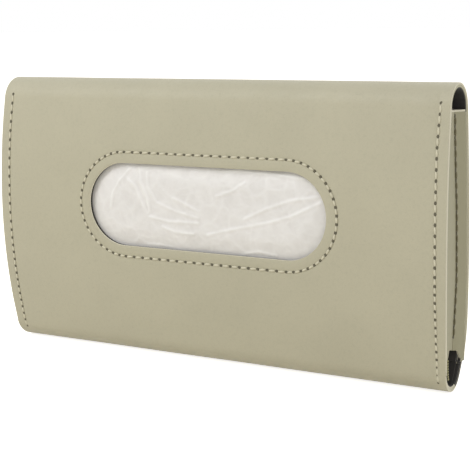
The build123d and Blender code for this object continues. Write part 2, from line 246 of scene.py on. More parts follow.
def case_profile():
    """The cover's outside from the flap's hem, round the bottom, front, top and back to the lip."""
    s = sizes()
    shares = (FOOT_SHARES, CROWN_SHARES, BROW_SHARES)
    foot, crown, brow = (spot(depth * s.depth, height * HEIGHT) for depth, height in shares)
    centre = arc_centre(foot, crown, brow)
    front_radius = (foot - centre).length
    foot_turn = math.asin((foot.z - centre.z) / front_radius)
    brow_turn = math.asin((brow.z - centre.z) / front_radius)
    top_radius = (BOTTOM + HEIGHT - brow.z) / (1 - math.sin(brow_turn))
    heel_radius = -brow.y - top_radius * math.cos(brow_turn)
    fold_radius = (foot.z - BOTTOM) / (1 + math.sin(foot_turn))
    sole_depth = -foot.y - fold_radius * math.cos(foot_turn)
    tuck = wall_thickness() + s.closure_gap
    lip_radius = (
        sole_depth**2 + (s.lip_start - s.tuck_radius) ** 2 - (tuck + s.tuck_radius) ** 2
    ) / (2 * (sole_depth - tuck - s.tuck_radius))
    flap_radius = lip_radius - tuck
    hem_turn = math.asin((s.lip_start - s.flap_top) / flap_radius)
    tuck_turn = math.atan2(s.lip_start - s.tuck_radius, lip_radius - sole_depth)
    hem = spot(lip_radius - flap_radius * math.cos(hem_turn), s.flap_top)

    profile = Profile(hem, math.pi + hem_turn)
    marks = {"hem": 0.0}
    profile.turn(tuck_turn - hem_turn, flap_radius)
    profile.turn(math.pi / 2 - tuck_turn, s.tuck_radius)
    marks["sole"] = profile.length
    marks["tucked"] = profile.length - 0.002
    lip_turn = math.asin((s.lip_start - s.lip_end) / lip_radius)
    marks["under_lip"] = (lip_turn - hem_turn) * flap_radius
    profile.turn(math.pi / 2 + foot_turn, fold_radius)
    marks["foot"] = profile.length
    profile.turn(brow_turn - foot_turn, front_radius)
    marks["brow"] = profile.length
    profile.turn(math.pi / 2 - brow_turn, top_radius)
    marks["apex"] = profile.length
    profile.turn(math.pi / 2, heel_radius)
    marks["heel"] = profile.length
    profile.straight(HEIGHT - heel_radius - s.lip_start)
    marks["lip"] = profile.length
    profile.turn(lip_turn, lip_radius)
    marks["end"] = profile.length
    return profile, marks


def at_height(profile, marks, height):
    """How far along the profile a height on the front or the top fold lies."""
    low, high = marks["sole"], marks["apex"]
    for _ in range(40):
        middle = (low + high) / 2
        if profile.point(middle).z < BOTTOM + height:
            low = middle
        else:
            high = middle
    return low


def side_x(z):
    """Half the width of the case at a height, a little more at mid-height."""
    s = sizes()
    half = HEIGHT / 2
    offset = z - BOTTOM - half
    bulge = s.upper_bulge if offset > 0 else s.lower_bulge
    radius = (half**2 + bulge**2) / (2 * bulge)
    return HALF_WIDTH - radius + math.sqrt(radius**2 - offset**2)


def front_line(profile, marks, depth):
    """Gives the Y of the front wall's inside at any height, so far inside the cover."""
    steps = 240
    low, high = marks["sole"], marks["apex"]
    points = [profile.point(low + (high - low) * k / steps, depth) for k in range(steps + 1)]
    pairs = sorted((point.z, point.y) for point in points)
    return lambda z: interpolated(z, pairs)


def interpolated(value, pairs):
    """Straight-line value between the pairs on each side."""
    place = min(max(bisect.bisect_left(pairs, (value, -math.inf)), 1), len(pairs) - 1)
    (low, first), (high, second) = pairs[place - 1], pairs[place]
    share = min(max((value - low) / (high - low), 0), 1)
    return first + (second - first) * share


def on_wall(profile, x, at, depth=0):
    """The place of a point of the flat sheet once it is folded into the case."""
    point = profile.point(at, depth)
    reach = min(max(point.z, BOTTOM), BOTTOM + HEIGHT)
    return Vector((x * side_x(reach) / HALF_WIDTH, point.y, point.z))


# Mesh helpers

def new_piece(name, bm, materials):
    """A mesh object made from a bmesh, with smooth faces."""
    for face in bm.faces:
        face.smooth = True
    mesh = bpy.data.meshes.new(name)
    bm.to_mesh(mesh)
    bm.free()
    piece = bpy.data.objects.new(name, mesh)
    bpy.context.scene.collection.objects.link(piece)
    for material in materials:
        mesh.materials.append(material)
    return piece


def mark_rims(bm, joint):
    """Softens a flat sheet's outer edges, except the one that joins another sheet, which stays crisp."""
    weight = bm.edges.layers.float.new("bevel_weight_edge")
    for edge in bm.edges:
        if edge.is_boundary:
            joined = all(abs(v.co.y - joint) < 1e-6 for v in edge.verts)
            edge.smooth = not joined
            edge[weight] = 0 if joined else 1


def thicken(piece, thickness, bevel, by_weight=False):
    """Gives a sheet its thickness inwards, with a cut edge of its own material and softened corners."""
    solid = piece.modifiers.new("thickness", "SOLIDIFY")
    solid.thickness = thickness
    solid.offset = -1
    solid.use_even_offset = True
    solid.material_offset_rim = 1
    rounding = soften(piece, bevel)
    if by_weight:
        rounding.limit_method = "WEIGHT"


def soften(piece, width, segments=2):
    """Softens a piece's sharp edges."""
    rounding = piece.modifiers.new("soft edges", "BEVEL")
    rounding.width = width
    rounding.segments = segments
    rounding.limit_method = "ANGLE"
    rounding.angle_limit = math.radians(50)
    rounding.harden_normals = True
    return rounding


def face_outwards(bm, inside):
    """Turns a sheet's faces away from a point inside the case."""
    bmesh.ops.recalc_face_normals(bm, faces=bm.faces)
    away = sum(
        (face.calc_center_median() - inside).dot(face.normal) * face.calc_area() for face in bm.faces
    )
    if away < 0:
        bmesh.ops.reverse_faces(bm, faces=bm.faces)


def new_side(ring, extruded):
    """For each vertex made by extruding a ring, the value that its neighbour in the ring holds."""
    made = [v for v in extruded["geom"] if isinstance(v, bmesh.types.BMVert)]
    pairs = ((v, e.other_vert(v)) for v in made for e in v.link_edges)
    return {v: ring[other] for v, other in pairs if other in ring}


def grow_ring(bm, ring, place):
    """Extrudes a closed ring of edges to where place says, and gives back the new ring."""
    edges = dict.fromkeys(e for v in ring for e in v.link_edges if e.other_vert(v) in ring)
    extruded = bmesh.ops.extrude_edge_only(bm, edges=list(edges))
    grown = new_side(ring, extruded)
    for v, value in grown.items():
        v.co = place(value)
    return grown


def window_panel(bm, half, low, high, centre, length, height):
    """A flat rectangle with a round-ended window, in rings that run from the window to the edge."""
    radius = height / 2
    straight = length / 2 - radius
    segments = 96
    turned = Matrix.Rotation(math.pi / segments, 4, "Z")
    made = bmesh.ops.create_circle(bm, cap_ends=False, segments=segments, radius=radius, matrix=turned)
    for v in made["verts"]:
        v.co.x += math.copysign(straight, v.co.x)
        v.co.y += centre
    long_edges = [e for e in bm.edges if e.calc_length() > straight]
    bmesh.ops.subdivide_edges(bm, edges=long_edges, cuts=46)

    rays = {}
    for v in bm.verts:
        hub = Vector((min(max(v.co.x, -straight), straight), centre, 0))
        out = (v.co - hub).normalized()
        reaches = []
        if abs(out.x) > 1e-9:
            reaches.append((math.copysign(half, out.x) - hub.x) / out.x)
        if abs(out.y) > 1e-9:
            reaches.append(((high if out.y > 0 else low) - hub.y) / out.y)
        rays[v] = [v.co.copy(), out, hub + out * min(reaches)]
    for corner in (Vector((x, y, 0)) for x in (-half, half) for y in (low, high)):
        nearest = min(rays.values(), key=lambda ray: (ray[2] - corner).length)
        nearest[2] = corner

    def near(distance):
        return lambda ray: ray[0] + ray[1] * distance

    def framed(ray, inset):
        middle = (low + high) / 2
        tall = (high - low) / 2
        x = ray[2].x * (half - inset) / half
        return Vector((x, middle + (ray[2].y - middle) * (tall - inset) / tall, 0))

    ring = rays
    # Distances of the rings from the window and from the outer edge, in millimetres
    inner = [0.3, 0.7, 1.2, 1.9, 2.7, 3.5, 4.2, 4.7, 5.1, 5.5, 5.9, 6.3, 6.9, 7.8, 9.0]
    outer = [9.0, 7.6, 6.6, 5.9, 5.4, 5.0, 4.6, 4.1, 3.4, 2.4, 1.4, 0.7, 0.3, 0.0]
    for distance in inner:
        ring = grow_ring(bm, ring, near(distance / 1000))
    steps = 14
    for step in range(1, steps):
        share = step / steps
        ring = grow_ring(
            bm, ring, lambda ray: near(inner[-1] / 1000)(ray).lerp(framed(ray, outer[0] / 1000), share)
        )
    for inset in outer:
        ring = grow_ring(bm, ring, lambda ray: framed(ray, inset / 1000))


def extrude_row(bm, edges, axis, value):
    """Extrudes a row of edges to a place along one axis, and gives back the new row."""
    made = bmesh.ops.extrude_edge_only(bm, edges=edges)["geom"]
    fresh = {v for v in made if isinstance(v, bmesh.types.BMVert)}
    for v in fresh:
        v.co[axis] = value
    return [e for e in made if isinstance(e, bmesh.types.BMEdge) and all(v in fresh for v in e.verts)]


def extend_sheet(bm, start, rows):
    """Carries the sheet's straight edge at one distance on through more rows."""
    edges = [e for e in bm.edges if all(abs(v.co.y - start) < 1e-6 for v in e.verts)]
    for row in rows:
        edges = extrude_row(bm, edges, 1, row)


def spread(low, high, step):
    """Evenly spaced values after low, up to high, about a step apart."""
    count = max(1, round((high - low) / step))
    return [low + (high - low) * (k + 1) / count for k in range(count)]


def cover_rows(marks):
    """Rows of the wall over the top, closer together where it bends and at the crease."""
    crease = marks["lip"] - (CREASE_SHARE * HEIGHT - sizes().lip_start)
    rows = spread(marks["brow"], marks["apex"], 0.0011)
    rows += spread(marks["apex"], marks["heel"], 0.0008)
    rows += spread(marks["heel"], crease + 0.006, 0.0007)
    rows += spread(crease + 0.006, marks["lip"], 0.003)
    rows += spread(marks["lip"], marks["end"], 0.0018)
    return rows


def cut_columns(bm, half, insets):
    """Cuts columns into the sheet at distances from its side edges."""
    for inset in insets:
        for side in (-1, 1):
            bmesh.ops.bisect_plane(
                bm,
                geom=bm.verts[:] + bm.edges[:] + bm.faces[:],
                dist=1e-7,
                plane_co=(side * (half - inset), 0, 0),
                plane_no=(1, 0, 0),
            )


def mark_faces(bm, chosen, index):
    """Gives a material to the faces whose middle is chosen."""
    for face in bm.faces:
        if chosen(face.calc_center_median()):
            face.material_index = index


def dent(distance, width, depth):
    """Depth of a soft groove at a distance from its line."""
    return depth * math.exp(-((distance / width) ** 2))


def eased(value, low, high):
    """Rises smoothly from 0 at low to 1 at high."""
    share = min(max((value - low) / (high - low), 0), 1)
    return share * share * (3 - 2 * share)


def relief_of_cover(profile, marks):
    """Gives how far the leather is pulled in along the stitch lines, at the window, and unevenly."""
    s = sizes()
    centre = at_height(profile, marks, s.window_centre)
    stitch_end = at_height(profile, marks, s.edge_stitch_high)
    radius = s.window_height / 2
    straight = s.window_length / 2 - radius

    def relief(x, at):
        hub = min(max(x, -straight), straight)
        from_window = math.hypot(x - hub, at - centre) - radius
        sewn = eased(at, marks["foot"] - 0.005, marks["foot"] - 0.002)
        sewn *= 1 - eased(at, stitch_end - 0.001, stitch_end + 0.003)
        pulled = dent(HALF_WIDTH - abs(x) - s.edge_stitch, 0.0009, 0.00020) * sewn
        pulled += dent(from_window - s.window_stitch, 0.0010, 0.00022)
        pulled += dent(from_window, 0.0008, 0.00020)
        pulled += s.lip_taper * eased(at, marks["end"] - 0.005, marks["end"])
        return pulled + 0.00010 * noise.noise(Vector((x * 22, at * 26, 3.1)))

    return relief


# Materials

class Nodes:
    """Builds one material from nodes, column by column."""

    def __init__(self, name):
        self.material = bpy.data.materials.new(name)
        self.material.use_nodes = True
        self.tree = self.material.node_tree
        self.shader = self.tree.nodes["Principled BSDF"]
        self.coordinates = self.add("ShaderNodeTexCoord").outputs["Object"]

    def add(self, kind, **values):
        node = self.tree.nodes.new(kind)
        for name, value in values.items():
            setattr(node, name, value)
        return node

    def link(self, source, target):
        self.tree.links.new(source, target)

    def stretched(self, scale):
        """Object coordinates stretched along the axes."""
        mapping = self.add("ShaderNodeMapping")
        mapping.inputs["Scale"].default_value = scale
        self.link(self.coordinates, mapping.inputs["Vector"])
        return mapping.outputs["Vector"]

    def noise(self, size, detail=3, roughness=0.5, vector=None):
        """Soft noise with features of a size in metres."""
        node = self.add("ShaderNodeTexNoise")
        node.inputs["Scale"].default_value = 1 / size
        node.inputs["Detail"].default_value = detail
        node.inputs["Roughness"].default_value = roughness
        self.link(vector or self.coordinates, node.inputs["Vector"])
        return node.outputs["Fac"]

    def cells(self, size, feature="F1", vector=None):
        """Cells of a size in metres."""
        node = self.add("ShaderNodeTexVoronoi", feature=feature)
        node.inputs["Scale"].default_value = 1 / size
        self.link(vector or self.coordinates, node.inputs["Vector"])
        return node.outputs["Distance"]

    def threads(self, size, direction):
        """Parallel ridges of a pitch in metres."""
        node = self.add("ShaderNodeTexWave", wave_type="BANDS", bands_direction=direction)
        node.inputs["Scale"].default_value = 1 / size * math.pi / 10
        node.inputs["Distortion"].default_value = 0.6
        node.inputs["Detail"].default_value = 1
        self.link(self.coordinates, node.inputs["Vector"])
        return node.outputs["Fac"]

    def math(self, operation, a, b):
        node = self.add("ShaderNodeMath", operation=operation)
        for value, socket in zip((a, b), node.inputs):
            if isinstance(value, (int, float)):
                socket.default_value = value
            else:
                self.link(value, socket)
        return node.outputs[0]

    def range(self, value, low, high, out_low, out_high):
        """A value carried from one range to another, and kept in it."""
        node = self.add("ShaderNodeMapRange")
        for name, number in (
            ("From Min", low),
            ("From Max", high),
            ("To Min", out_low),
            ("To Max", out_high),
        ):
            node.inputs[name].default_value = number
        self.link(value, node.inputs["Value"])
        return node.outputs["Result"]

    def tint(self, factor, first, second):
        """A mix of two colours."""
        node = self.add("ShaderNodeMix", data_type="RGBA")
        self.link(factor, node.inputs["Factor"])
        node.inputs["A"].default_value = (*first, 1)
        node.inputs["B"].default_value = (*second, 1)
        return node.outputs["Result"]

    def mixed(self, factor, base, second):
        """A linked colour mixed with a plain one."""
        node = self.add("ShaderNodeMix", data_type="RGBA")
        self.link(factor, node.inputs["Factor"])
        self.link(base, node.inputs["A"])
        node.inputs["B"].default_value = (*second, 1)
        return node.outputs["Result"]

    def darken(self, base, factor, share):
        """A colour darkened by a share where the factor is high."""
        node = self.add("ShaderNodeMix", data_type="RGBA", blend_type="MULTIPLY")
        self.link(factor, node.inputs["Factor"])
        self.link(base, node.inputs["A"])
        node.inputs["B"].default_value = (share, share, share, 1)
        return node.outputs["Result"]

    def bump(self, height, distance, strength=1.0, below=None):
        """Relief from a height, in metres."""
        node = self.add("ShaderNodeBump")
        node.inputs["Distance"].default_value = distance
        node.inputs["Strength"].default_value = strength
        self.link(height, node.inputs["Height"])
        if below is not None:
            self.link(below, node.inputs["Normal"])
        return node.outputs["Normal"]

    def finish(self, base, normal=None, roughness=None, **numbers):
        """Joins the colour, the relief and the roughness to the shader."""
        self.link(base, self.shader.inputs["Base Color"])
        if normal is not None:
            self.link(normal, self.shader.inputs["Normal"])
        if roughness is not None:
            self.link(roughness, self.shader.inputs["Roughness"])
        for name, number in numbers.items():
            self.shader.inputs[name.replace("_", " ")].default_value = number
        return self.material


def shade(colour, factor):
    """A colour made lighter or darker."""
    return tuple(min(1.0, channel * factor) for channel in colour)


def leather_material(name, base, grain, hem=None):
    """Matt leather with a fine pebbled grain, small pores and faint clouding, and a hem if given."""
    nodes = Nodes(name)
    clouds = nodes.noise(0.035, 3)
    tone = nodes.tint(nodes.range(clouds, 0.3, 0.7, 0, 1), shade(base, 0.97), shade(base, 1.03))
    if hem:
        hemmed = nodes.add("ShaderNodeAttribute", attribute_name="hem").outputs["Fac"]
        tone = nodes.mixed(hemmed, tone, hem)
    mottle = nodes.noise(0.0016, 3, 0.6)
    tone = nodes.darken(tone, nodes.range(mottle, 0.5, 0.8, 0, 1), 0.94)
    pebbles = nodes.cells(grain, "SMOOTH_F1")
    tone = nodes.darken(tone, nodes.range(pebbles, 0.45, 0.85, 0, 1), 0.93)
    pores = nodes.range(nodes.cells(grain * 3.1), 0.0, 0.12, 1, 0)
    tone = nodes.darken(tone, pores, 0.9)
    relief = nodes.bump(pebbles, -0.00005, 0.4)
    relief = nodes.bump(nodes.noise(grain * 0.6, 2), 0.00003, 0.3, relief)
    relief = nodes.bump(nodes.noise(0.006, 2), 0.00012, 0.35, relief)
    rough = nodes.range(nodes.noise(0.004, 2), 0.3, 0.7, 0.50, 0.62)
    return nodes.finish(tone, relief, rough, Sheen_Weight=0.06)


def cut_edge_material(name, base):
    """Raw edge of leather: pale fibres packed in layers."""
    nodes = Nodes(name)
    fibres = nodes.noise(0.0003, 4, 0.7)
    tone = nodes.tint(fibres, shade(base, 0.85), shade(base, 1.1))
    return nodes.finish(tone, nodes.bump(fibres, 0.0001, 0.6), Roughness=0.85)


def cloth_material(name, base):
    """Woven cloth with a little fuzz."""
    nodes = Nodes(name)
    across = nodes.threads(0.00045, "X")
    upwards = nodes.threads(0.00045, "Z")
    weave = nodes.math("MULTIPLY", across, upwards)
    tone = nodes.tint(weave, shade(base, 0.7), shade(base, 1.6))
    fuzz = nodes.noise(0.0006, 3)
    relief = nodes.bump(fuzz, 0.00005, 0.4, nodes.bump(weave, 0.00008, 0.7))
    return nodes.finish(tone, relief, Roughness=0.9, Sheen_Weight=0.15)


def thread_material(name, base):
    """Waxed thread with the slant of its twist."""
    nodes = Nodes(name)
    twist = nodes.noise(0.0004, 2, 0.5, nodes.stretched((1, 2.5, 2.5)))
    tone = nodes.tint(twist, shade(base, 0.82), shade(base, 1.12))
    return nodes.finish(tone, nodes.bump(twist, 0.00012, 0.6), Roughness=0.55)


def hole_material(name):
    """Shadowed inside of a needle hole."""
    nodes = Nodes(name)
    tone = nodes.tint(nodes.noise(0.0004), (0.10, 0.092, 0.062), (0.15, 0.137, 0.097))
    return nodes.finish(tone, Roughness=0.9)


def film_material(name, base, crease):
    """Milky soft film over white tissue, with a painted highlight along its creases."""
    nodes = Nodes(name)
    clouds = nodes.noise(0.012, 3)
    tone = nodes.tint(nodes.range(clouds, 0.3, 0.7, 0, 1), shade(base, 0.965), shade(base, 1.03))
    # Share of the painted crease highlight at each point
    creased = nodes.add("ShaderNodeAttribute", attribute_name="creased").outputs["Fac"]
    tone = nodes.mixed(creased, tone, crease)
    fine = nodes.noise(0.0022, 4, 0.6, nodes.stretched((1.0, 1.0, 1.7)))
    relief = nodes.bump(fine, 0.0002, 0.3)
    return nodes.finish(tone, relief, Roughness=0.38)


def board_material(name, base):
    """Pressed fibre board."""
    nodes = Nodes(name)
    specks = nodes.noise(0.0008, 4, 0.7)
    tone = nodes.tint(specks, shade(base, 0.75), shade(base, 1.25))
    return nodes.finish(tone, nodes.bump(specks, 0.0001, 0.5), Roughness=0.9)


def metal_material(name, base, roughness):
    """Plated metal with a brushed haze."""
    nodes = Nodes(name)
    haze = nodes.noise(0.0015, 4, 0.6)
    tone = nodes.tint(haze, shade(base, 0.92), shade(base, 1.05))
    rough = nodes.range(haze, 0.3, 0.7, roughness - 0.05, roughness + 0.07)
    return nodes.finish(tone, nodes.bump(haze, 0.00002, 0.3), rough, Metallic=1.0)


def material(name, make, *values):
    """A material by name, made the first time that it is asked for."""
    return bpy.data.materials.get(name) or make(name, *values)


def cover_leather():
    return material("cover_leather", leather_material, colours().leather, sizes().grain)


def gusset_leather():
    c = colours()
    return material("gusset_leather", leather_material, c.gusset, sizes().grain, c.gusset_hem)


# Leather in the pleat's painted shade, for the shadow down the crease
def pleat_leather():
    return material("pleat_leather", leather_material, colours().pleat, sizes().grain)


def cut_edge():
    return material("cut_edge", cut_edge_material, colours().cut_edge)


def worn_edge():
    return material("worn_edge", cut_edge_material, colours().worn_edge)


def board_edge():
    return material("board_edge", cut_edge_material, colours().board_edge)


def lining_cloth():
    return material("lining_cloth", cloth_material, colours().lining)


def waxed_thread():
    return material("waxed_thread", thread_material, colours().thread)


def hem_thread():
    return material("hem_thread", thread_material, colours().gusset)


# Thread in the pleat's painted shade colour
def pleat_cord():
    return material("pleat_cord", thread_material, colours().pleat)


def needle_hole():
    return material("needle_hole", hole_material)


def pack_film():
    return material("pack_film", film_material, colours().wrapper, colours().crease)


def paint(node, finish):
    """Gives a CAD node its finish."""
    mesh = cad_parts[node].data
    mesh.materials.clear()
    mesh.materials.append(finish)


# Case

FLAP_STEP = 0.0006
FILLER_INSETS = (0.00085, 0.00015)


def hinge_blend(piece):
    """Bakes the placement of a wall that runs over the top into its mesh."""
    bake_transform(piece)


def flap_taper(marks, at, inset):
    """How much narrower one side of the flap is: most behind the lip, and little below it."""
    below = eased(at, marks["under_lip"], marks["under_lip"] + FLAP_STEP)
    return inset * (1 - 0.85 * below) * min(1, (marks["foot"] - at) / (marks["foot"] - marks["sole"]))


def flap_swelling(marks, at):
    """How far the flap stands back between the lip's end and the bottom fold."""
    out = eased(at, marks["under_lip"], marks["under_lip"] + FLAP_STEP)
    home = eased(at, marks["sole"] - 0.006, marks["sole"] + 0.001)
    return sizes().flap_swell * out * (1 - home)


def narrow(bm, marks, inset):
    """Draws a flat flap sheet's sides in."""
    for v in bm.verts:
        v.co.x *= 1 - flap_taper(marks, v.co.y, inset) / HALF_WIDTH


def filler_strips(start, rows):
    """Two narrow flat strips along the side edges, from a start on through rows."""
    bm = bmesh.new()
    for side in (1, -1):
        bm.edges.new([bm.verts.new((side * (HALF_WIDTH - inset), start, 0)) for inset in FILLER_INSETS])
    extend_sheet(bm, start, rows)
    return bm


def fold_wall(bm, profile, depth=0.0, relief=None, swelling=None):
    """Folds a flat sheet into the case's wall at a depth inside the cover."""
    for v in bm.verts:
        x, at = v.co.x, v.co.y
        inwards = depth + (relief(x, at) if relief else 0)
        v.co = on_wall(profile, x, at, inwards)
        if swelling:
            v.co.y += swelling(at)


class TISSUECASE_OT_cover(Operator):
    """Cover leather from the bottom fold over the front, the top and the back to the lip"""

    bl_idname = "tissue_case.cover"
    bl_label = "Cover leather"

    def execute(self, context):
        s = sizes()
        profile, marks = case_profile()
        low, high = marks["foot"], marks["brow"]
        centre = at_height(profile, marks, s.window_centre)
        bm = bmesh.new()
        window_panel(bm, HALF_WIDTH, low, high, centre, s.window_length, s.window_height)
        extend_sheet(bm, high, cover_rows(marks))
        cut_columns(bm, HALF_WIDTH, (0.0003, 0.0035, 0.0042, 0.0047, 0.005, 0.0053, 0.0058, 0.0065))
        mark_faces(bm, lambda middle: middle.y > marks["heel"], 2)
        mark_rims(bm, low)
        fold_wall(bm, profile, 0, relief_of_cover(profile, marks))
        face_outwards(bm, spot(s.depth / 2, HEIGHT / 2))
        finishes = [cover_leather(), cut_edge(), cover_leather(), worn_edge()]
        piece = new_piece("case_cover", bm, finishes)
        hinge_blend(piece)
        thicken(piece, s.leather, 0.0002, by_weight=True)
        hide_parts("front_cover", "back_cover")
        return {"FINISHED"}


class TISSUECASE_OT_flap(Operator):
    """Leather and lining of the bottom flap, from the bottom fold up behind the lip"""

    bl_idname = "tissue_case.flap"
    bl_label = "Bottom flap"

    def sheet(self, marks, half, inset):
        """A flat sheet from the hem to the bottom fold's front, narrowed towards its tucked end."""
        high = marks["foot"]
        bm = bmesh.new()
        place = Matrix.Translation((0, high / 2, 0)) @ Matrix.Diagonal((half * 2, high, 1, 1))
        bmesh.ops.create_grid(bm, x_segments=90, y_segments=46, size=0.5, matrix=place)
        fold_rows = (high - 0.0001, high - 0.0003, high - 0.0007)
        step_rows = (marks["under_lip"], marks["under_lip"] + FLAP_STEP)
        for row in fold_rows + step_rows:
            parts = bm.verts[:] + bm.edges[:] + bm.faces[:]
            bmesh.ops.bisect_plane(bm, geom=parts, dist=1e-7, plane_co=(0, row, 0), plane_no=(0, 1, 0))
        cut_columns(bm, half, (0.0003, 0.0042, 0.005, 0.0058))
        narrow(bm, marks, inset)
        mark_faces(bm, lambda middle: middle.y < marks["tucked"], 2)
        mark_rims(bm, high)
        return bm

    def wall(self, name, bm, finishes, thickness, node, slot):
        """One layer of the flap, from its flat sheet after folding."""
        face_outwards(bm, spot(sizes().depth / 2, 0.012))
        piece = new_piece(name, bm, finishes)
        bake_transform(piece)
        thicken(piece, thickness, 0.0002 if thickness > 0.0008 else 0.0001, by_weight=True)
        if node:
            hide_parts(node)
        return piece

    def execute(self, context):
        s = sizes()
        profile, marks = case_profile()
        bm = self.sheet(marks, HALF_WIDTH, s.flap_inset)
        swelling = partial(flap_swelling, marks)
        fold_wall(bm, profile, 0, relief_of_cover(profile, marks), swelling)
        finishes = [cover_leather(), cut_edge(), cover_leather(), lining_cloth()]
        self.wall("bottom_flap_leather", bm, finishes, s.leather, "flap_cover", "leather")

        depth = s.leather + s.flap_board
        bm = self.sheet(marks, HALF_WIDTH - s.lining_inset, s.flap_inset)
        cloth_area = sum(face.calc_area() for face in bm.faces)
        fold_wall(bm, profile, depth, swelling=swelling)
        finishes = [lining_cloth(), cut_edge(), lining_cloth(), lining_cloth()]
        cloth = self.wall("flap_lining_cloth", bm, finishes, s.lining, "flap_lining", "lining")

        bm = filler_strips(0, spread(0, marks["foot"], 0.0008))
        narrow(bm, marks, s.flap_inset)
        mark_faces(bm, lambda middle: middle.y < marks["tucked"], 2)
        mark_rims(bm, marks["foot"])
        fold_wall(bm, profile, s.leather, swelling=swelling)
        finishes = [cut_edge(), cut_edge(), lining_cloth(), lining_cloth()]
        self.wall("flap_edge_filler", bm, finishes, s.flap_board, None, "leather")
        return {"FINISHED"}


class TISSUECASE_OT_lining(Operator):
    """Black cloth inside the front, the top and the back"""

    bl_idname = "tissue_case.lining"
    bl_label = "Lining"

    def execute(self, context):
        s = sizes()
        profile, marks = case_profile()
        low, high = marks["foot"], marks["brow"]
        centre = at_height(profile, marks, s.window_centre)
        bm = bmesh.new()
        half = HALF_WIDTH - s.lining_inset
        margin = 2 * s.lining_margin
        window_panel(bm, half, low, high, centre, s.window_length + margin, s.window_height + margin)
        extend_sheet(bm, high, cover_rows(marks))
        worn_from = marks["heel"] + 0.003
        mark_faces(bm, lambda middle: abs(middle.x) > half - 0.02 and middle.y > worn_from, 2)
        cloth_area = sum(face.calc_area() for face in bm.faces)
        fold_wall(bm, profile, s.leather + s.board)
        face_outwards(bm, spot(s.depth / 2, HEIGHT / 2))
        finishes = [lining_cloth(), lining_cloth(), lining_cloth(), worn_edge()]
        piece = new_piece("case_lining", bm, finishes)
        hinge_blend(piece)
        thicken(piece, s.lining, 0.0001)
        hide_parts("front_lining", "back_lining")
        return {"FINISHED"}


class TISSUECASE_OT_edges(Operator):
    """Pale filler that closes the side edges between the cover and the lining"""

    bl_idname = "tissue_case.edges"
    bl_label = "Edge filler"

    def execute(self, context):
        s = sizes()
        profile, marks = case_profile()
        low, high = marks["foot"], marks["brow"]
        bm = filler_strips(low, spread(low, high, 0.003) + cover_rows(marks))
        worn_from = marks["heel"] + 0.003
        mark_faces(bm, lambda middle: high < middle.y < worn_from, 2)
        mark_faces(bm, lambda middle: middle.y > worn_from, 3)
        mark_rims(bm, low)
        fold_wall(bm, profile, s.leather)
        face_outwards(bm, spot(s.depth / 2, HEIGHT / 2))
        finishes = [cut_edge(), cut_edge(), board_edge(), worn_edge(), worn_edge()]
        piece = new_piece("edge_filler", bm, finishes)
        hinge_blend(piece)
        thicken(piece, s.board, 0.0001, by_weight=True)
        return {"FINISHED"}


# Gusset's lower edge as heights, and its upper edge as gains, at shares from the front to the back
GUSSET_FOOT = (
    (0, 0.0155),
    (0.2, 0.0148),
    (0.31, 0.0185),
    (0.43, 0.0183),
    (0.735, 0.0165),
    (0.79, 0.0158),
    (0.85, 0.0125),
    (1, 0.0105),
)
GUSSET_HEAD = ((0, 0.0022), (0.5, 0.0014), (1, 0.0008))

# Width of the pale hem, and stray of the pleat, at heights above the bottom
HEM_WIDTHS = (
    (0.016, 0.0042),
    (0.020, 0.0034),
    (0.028, 0.0015),
    (0.090, 0.0010),
    (0.105, 0.0022),
    (0.118, 0.0038),
)
PLEAT_STRAYS = (
    (0.017, -0.002),
    (0.027, -0.001),
    (0.047, 0.001),
    (0.080, 0.0004),
    (0.109, -0.0022),
    (0.117, -0.0026),
)
REAR_OVERHANG = 0.0006
HEM_GAP = 0.0001


def pleat_bow(z):
    """How far the pleat strays from its straight line at a height."""
    return interpolated(z - BOTTOM, PLEAT_STRAYS)


